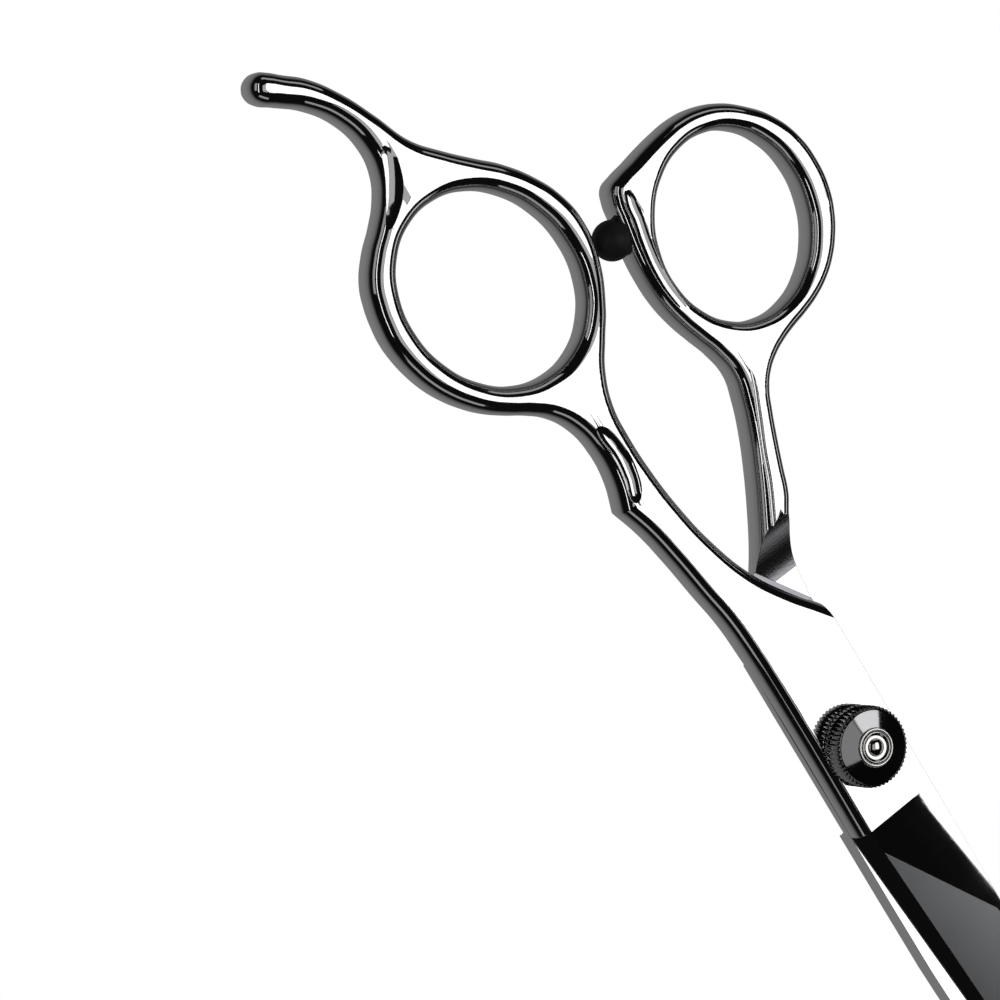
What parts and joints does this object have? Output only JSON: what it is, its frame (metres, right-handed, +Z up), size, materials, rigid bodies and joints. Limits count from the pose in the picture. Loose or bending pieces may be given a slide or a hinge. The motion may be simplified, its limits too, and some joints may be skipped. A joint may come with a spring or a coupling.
{
  "type": "hair cutting shears",
  "caption": "Hair cutting shears: two polished steel halves on an adjustable pivot, with a fixed finger rest and a rubber bumper.",
  "frame": {"origin": "pivot axis, at the surface that the shears lie on, on the underside of the pivot screw's head", "axes": "+X towards the blade tips, +Y towards the thumb ring, +Z up along the pivot axis"},
  "size_m": [0.1855, 0.0604, 0.0111],
  "materials": {
    "polished_steel": "mirror polished stainless steel",
    "screw_steel": "turned stainless steel",
    "dark_chrome": "dark bright chrome",
    "spring_steel": "plain spring steel",
    "bronze": "sintered bronze",
    "slip_plastic": "white low-friction plastic",
    "black_rubber": "matte black rubber"
  },
  "bodies": {
    "finger_side": {"finger_half": "polished_steel", "pivot_bush": "bronze", "ride_washer": "slip_plastic", "friction_washer": "slip_plastic"},
    "thumb_side": {"thumb_half": "polished_steel", "bumper": "black_rubber", "pivot_screw": "screw_steel", "click_plate": "spring_steel", "disc_spring": "spring_steel", "end_screw": "polished_steel"},
    "knob": {"tension_knob": "dark_chrome", "knob_insert": "polished_steel", "click_balls": "spring_steel", "click_springs": "spring_steel"}
  },
  "joints": [
    {"name": "blade_pivot", "type": "hinge", "parent": "finger_side", "child": "thumb_side", "pos_m": [0, 0, 0.0037], "axis": [0, 0, -1], "range_deg": [0, 60]},
    {"name": "tension_turn", "type": "hinge", "parent": "thumb_side", "child": "knob", "pos_m": [0, 0, 0.0065], "axis": [0, 0, 1], "range_deg": [-60, 60]}
  ]
}
